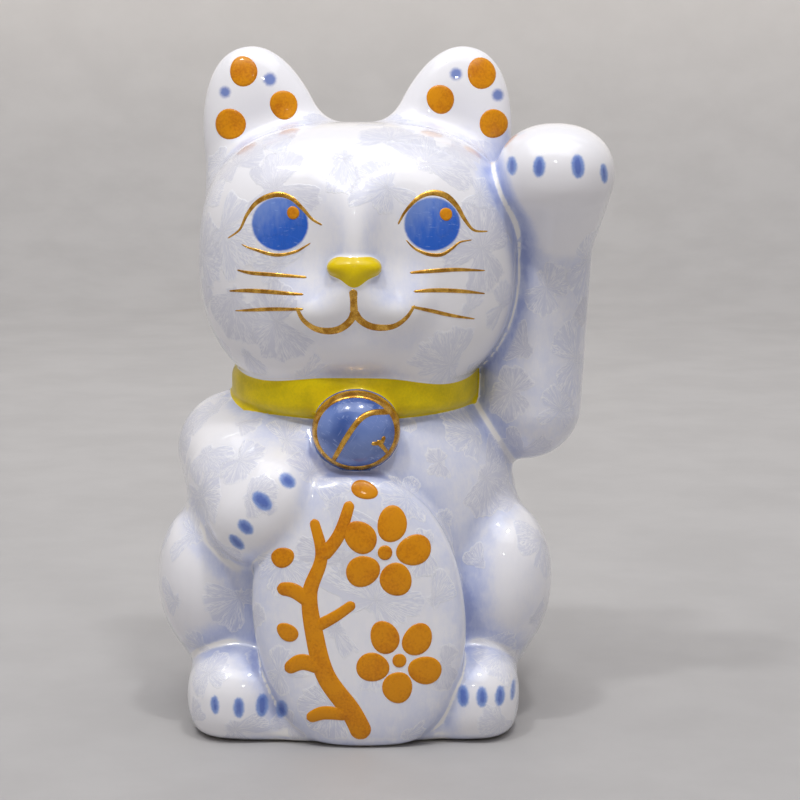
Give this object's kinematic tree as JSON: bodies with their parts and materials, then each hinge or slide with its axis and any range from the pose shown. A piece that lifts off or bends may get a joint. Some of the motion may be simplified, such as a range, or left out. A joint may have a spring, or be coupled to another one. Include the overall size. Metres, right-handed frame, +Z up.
{
  "type": "beckoning cat figurine",
  "caption": "Seated porcelain cat figurine with a raised left paw, a collar with a bell and an oval tablet held against its belly.",
  "frame": {"origin": "the surface the cat stands on, below the middle of its body", "axes": "+Z up, -Y the way the cat faces, +X towards its own left side, where the paw is raised"},
  "size_m": [0.1208, 0.097, 0.1801],
  "materials": {
    "porcelain_glaze": "glossy crystalline glaze, white to lavender",
    "collar_enamel": "glossy yellow-green enamel",
    "bell_enamel": "glossy deep blue enamel with gold lines",
    "nose_enamel": "glossy yellow enamel",
    "gold_lustre": "thin fired gold lines on the glaze",
    "ochre_enamel": "glossy raised ochre enamel",
    "bisque": "unglazed, matt"
  },
  "bodies": {
    "root": {"foot_slab": "bisque", "torso_casting": "porcelain_glaze", "head_casting": "porcelain_glaze", "left_ear": "porcelain_glaze", "right_ear": "porcelain_glaze", "nose": "nose_enamel", "collar": "collar_enamel", "bell": "bell_enamel", "raised_arm": "porcelain_glaze", "raised_paw": "porcelain_glaze", "lowered_arm": "porcelain_glaze", "lowered_paw": "porcelain_glaze", "oval_tablet": "porcelain_glaze", "left_haunch": "porcelain_glaze", "right_haunch": "porcelain_glaze", "left_foot": "porcelain_glaze", "right_foot": "porcelain_glaze", "tail": "porcelain_glaze"}
  },
  "joints": []
}
